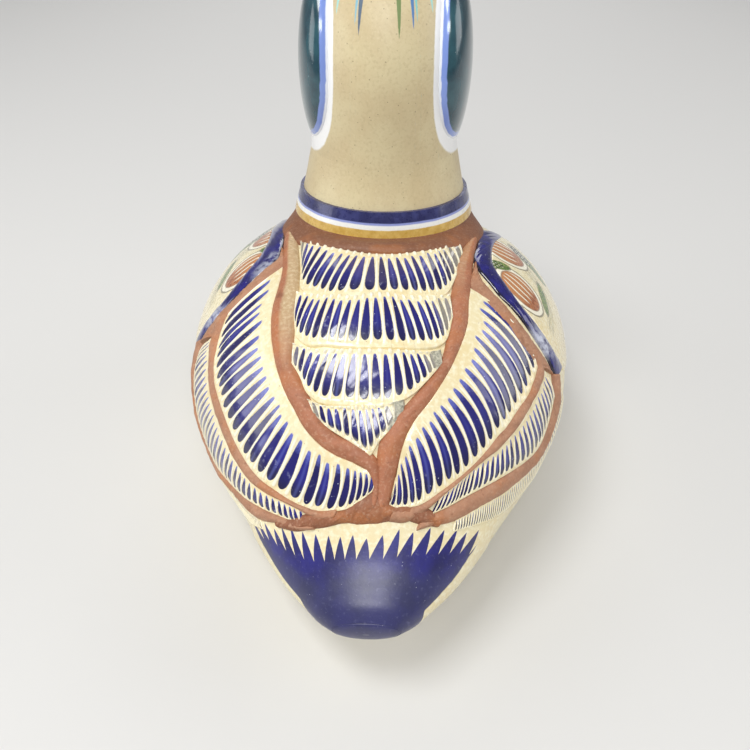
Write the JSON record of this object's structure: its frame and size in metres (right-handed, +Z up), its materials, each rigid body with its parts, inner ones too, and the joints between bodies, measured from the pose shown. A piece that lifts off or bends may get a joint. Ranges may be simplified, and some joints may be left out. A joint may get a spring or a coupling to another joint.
{
  "type": "bird-shaped pottery vase",
  "caption": "Hollow bird-shaped pottery vase with carved blue and cream wing feathers, terracotta bands and an open mouth at the crown.",
  "frame": {"origin": "on the surface the foot stands on, below the middle of the crest line between tail and breast", "axes": "+Y the way the bird faces, +X its right-hand side, +Z up"},
  "size_m": [0.156, 0.222, 0.206],
  "materials": {
    "cream_slip": "satin cream slip with fine specks",
    "cobalt_glaze": "glossy cobalt blue strokes between cream lines",
    "terracotta": "burnished bare terracotta with grit and scuffs",
    "neck_beige": "satin beige slip with dark and pale specks",
    "cheek_teal": "glossy dark teal oval with lavender and white rims",
    "collar_bands": "glossy navy, lavender, white and ochre bands",
    "tail_violet": "glossy blue-violet glaze with cobalt saw teeth on cream",
    "flower_paint": "cream slip with orange petals and green leaves",
    "bill_ochre": "satin ochre",
    "eye_black": "glossy black"
  },
  "bodies": {
    "root": {"back_shell": "cream_slip", "belly_shell": "cream_slip", "bill": "bill_ochre", "collar": "collar_bands", "head": "neck_beige", "left_cheek": "cheek_teal", "left_eye": "eye_black", "left_flower_panel": "flower_paint", "left_lower_band": "cream_slip", "left_lower_ridge": "terracotta", "left_primaries": "cobalt_glaze", "left_secondaries": "cobalt_glaze", "left_shoulder_ridge": "terracotta", "left_shoulder_stripe": "cobalt_glaze", "left_wing_ridge": "terracotta", "mantle_border": "terracotta", "mantle_row_1": "cobalt_glaze", "mantle_row_2": "cobalt_glaze", "mantle_row_3": "cobalt_glaze", "mantle_row_4": "cobalt_glaze", "mouth_rim": "neck_beige", "neck": "neck_beige", "neck_ledge": "terracotta", "rear_band": "terracotta", "right_cheek": "cheek_teal", "right_eye": "eye_black", "right_flower_panel": "flower_paint", "right_lower_band": "cream_slip", "right_lower_ridge": "terracotta", "right_primaries": "cobalt_glaze", "right_secondaries": "cobalt_glaze", "right_shoulder_ridge": "terracotta", "right_shoulder_stripe": "cobalt_glaze", "right_wing_ridge": "terracotta", "tail": "tail_violet"}
  },
  "joints": []
}
